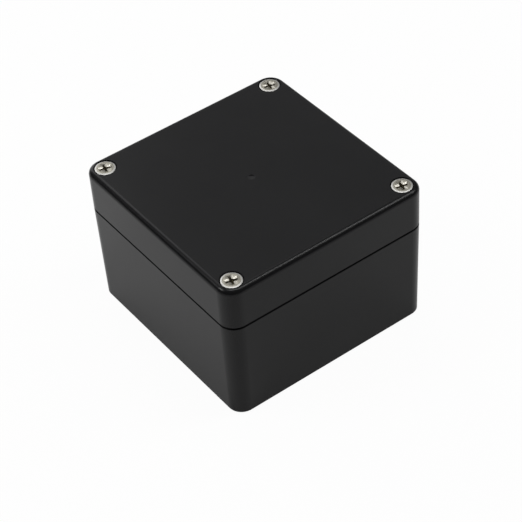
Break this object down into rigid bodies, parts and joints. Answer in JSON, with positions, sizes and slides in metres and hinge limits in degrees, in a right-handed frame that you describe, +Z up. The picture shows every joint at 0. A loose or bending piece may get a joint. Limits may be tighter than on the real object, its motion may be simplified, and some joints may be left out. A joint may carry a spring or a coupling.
{
  "type": "plastic project box",
  "caption": "Sealed black plastic box for electronics: base tray with corner posts, deep lid held by countersunk corner screws, seal ring and board bosses inside.",
  "frame": {"origin": "middle of the underside, where the box stands", "axes": "+Z up through the lid, +X along the 83 mm side, +Y along the 81 mm side"},
  "size_m": [0.083, 0.081, 0.056],
  "materials": {
    "abs_black": "satin",
    "silicone_grey": "matt",
    "screw_steel": "satin",
    "insert_brass": "turned"
  },
  "bodies": {
    "base": {"case_base": "abs_black", "thread_insert_front_left": "insert_brass", "thread_insert_front_right": "insert_brass", "thread_insert_back_left": "insert_brass", "thread_insert_back_right": "insert_brass"},
    "lid": {"lid": "abs_black", "seal": "silicone_grey"},
    "screw_front_left": {"lid_screw_front_left": "screw_steel"},
    "screw_front_right": {"lid_screw_front_right": "screw_steel"},
    "screw_back_left": {"lid_screw_back_left": "screw_steel"},
    "screw_back_right": {"lid_screw_back_right": "screw_steel"}
  },
  "joints": [
    {"name": "lid_lift", "type": "slide", "parent": "base", "child": "lid", "axis": [0, 0, 1], "range_m": [0, 0.06]},
    {"name": "screw_out_front_left", "type": "slide", "parent": "lid", "child": "screw_front_left", "axis": [0, 0, 1], "range_m": [0, 0.03]},
    {"name": "screw_out_front_right", "type": "slide", "parent": "lid", "child": "screw_front_right", "axis": [0, 0, 1], "range_m": [0, 0.03]},
    {"name": "screw_out_back_left", "type": "slide", "parent": "lid", "child": "screw_back_left", "axis": [0, 0, 1], "range_m": [0, 0.03]},
    {"name": "screw_out_back_right", "type": "slide", "parent": "lid", "child": "screw_back_right", "axis": [0, 0, 1], "range_m": [0, 0.03]}
  ]
}
